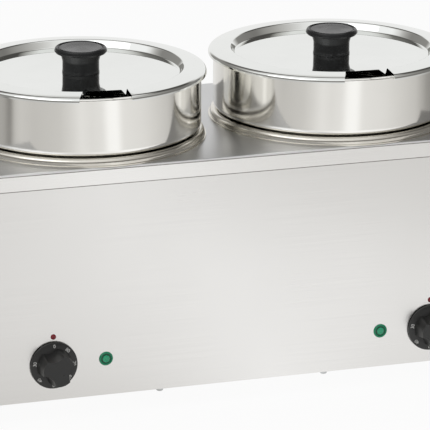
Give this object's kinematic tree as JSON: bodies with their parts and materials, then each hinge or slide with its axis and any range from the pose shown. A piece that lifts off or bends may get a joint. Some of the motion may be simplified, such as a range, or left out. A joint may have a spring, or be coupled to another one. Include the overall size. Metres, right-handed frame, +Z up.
{
  "type": "bain-marie hot pot",
  "caption": "Counter-top food warmer: round lidded soup pots hang side by side in heated wells in a folded steel casing, with thermostat dials and pilot lamps along the front.",
  "frame": {"origin": "on the counter under the middle of the casing", "axes": "+X to the right of a cook who faces the dials, +Y to the rear, +Z up"},
  "size_m": [0.54, 0.302, 0.3244],
  "materials": {
    "brushed_sheet": "stainless sheet, fine lengthwise brushed grain",
    "polished_steel": "stainless sheet, mirror polished",
    "satin_steel": "stainless sheet, spun and satin polished",
    "plated_steel": "bright zinc plated",
    "element_sheath": "annealed dark grey sheath",
    "aluminium_plate": "rolled, bare",
    "copper_tube": "drawn copper, bare",
    "brass": "turned brass",
    "black_bakelite": "moulded thermoset, soft gloss",
    "black_dial": "moulded thermoset, fine satin",
    "black_nylon": "moulded nylon",
    "black_rubber": "moulded rubber, matt",
    "green_lens": "translucent moulded lens",
    "red_lens": "translucent moulded dome",
    "lamp_holder": "moulded nylon, natural white",
    "thermostat_case": "moulded steatite-filled case",
    "ceramic": "unglazed steatite"
  },
  "bodies": {
    "housing": {"base_plate": "brushed_sheet", "base_screws": "plated_steel", "cable_gland": "black_nylon", "clamp_nuts": "plated_steel", "clamp_studs": "plated_steel", "deck_cover": "brushed_sheet", "deck_screws": "plated_steel", "earth_stud": "brass", "feet": "black_rubber", "foot_nuts": "plated_steel", "foot_screws": "plated_steel", "front_casing": "brushed_sheet", "gland_nut": "black_nylon", "index_studs": "red_lens", "left_cutout": "ceramic", "left_heat_plate": "aluminium_plate", "left_heater": "element_sheath", "left_heater_clamp": "plated_steel", "left_lamp_holder": "lamp_holder", "left_pilot_lamp": "green_lens", "left_sensor": "copper_tube", "left_thermostat": "thermostat_case", "left_well": "satin_steel", "rear_panel": "brushed_sheet", "rear_screws": "plated_steel", "right_cutout": "ceramic", "right_heat_plate": "aluminium_plate", "right_heater": "element_sheath", "right_heater_clamp": "plated_steel", "right_lamp_holder": "lamp_holder", "right_pilot_lamp": "green_lens", "right_sensor": "copper_tube", "right_thermostat": "thermostat_case", "right_well": "satin_steel", "sensor_clips": "plated_steel", "terminal_block": "ceramic", "thermostat_screws": "plated_steel"},
    "pot_left": {"left_pot": "polished_steel"},
    "lid_left": {"left_lid": "polished_steel", "left_lid_knob": "black_bakelite", "left_knob_screw": "plated_steel"},
    "dial_left": {"left_dial": "black_dial", "left_spindle": "plated_steel"},
    "pot_right": {"right_pot": "polished_steel"},
    "lid_right": {"right_lid": "polished_steel", "right_lid_knob": "black_bakelite", "right_knob_screw": "plated_steel"},
    "dial_right": {"right_dial": "black_dial", "right_spindle": "plated_steel"}
  },
  "joints": [
    {"name": "pot_left_lift", "type": "slide", "parent": "housing", "child": "pot_left", "axis": [0, 0, 1], "range_m": [0, 0.23]},
    {"name": "lid_left_lift", "type": "slide", "parent": "pot_left", "child": "lid_left", "axis": [0, 0, 1], "range_m": [0, 0.12]},
    {"name": "dial_left_turn", "type": "hinge", "parent": "housing", "child": "dial_left", "pos_m": [-0.1863, -0.13, 0.0546], "axis": [0, 1, 0], "range_deg": [0, 320]},
    {"name": "pot_right_lift", "type": "slide", "parent": "housing", "child": "pot_right", "axis": [0, 0, 1], "range_m": [0, 0.23]},
    {"name": "lid_right_lift", "type": "slide", "parent": "pot_right", "child": "lid_right", "axis": [0, 0, 1], "range_m": [0, 0.12]},
    {"name": "dial_right_turn", "type": "hinge", "parent": "housing", "child": "dial_right", "pos_m": [0.1863, -0.13, 0.0546], "axis": [0, 1, 0], "range_deg": [0, 320]}
  ]
}
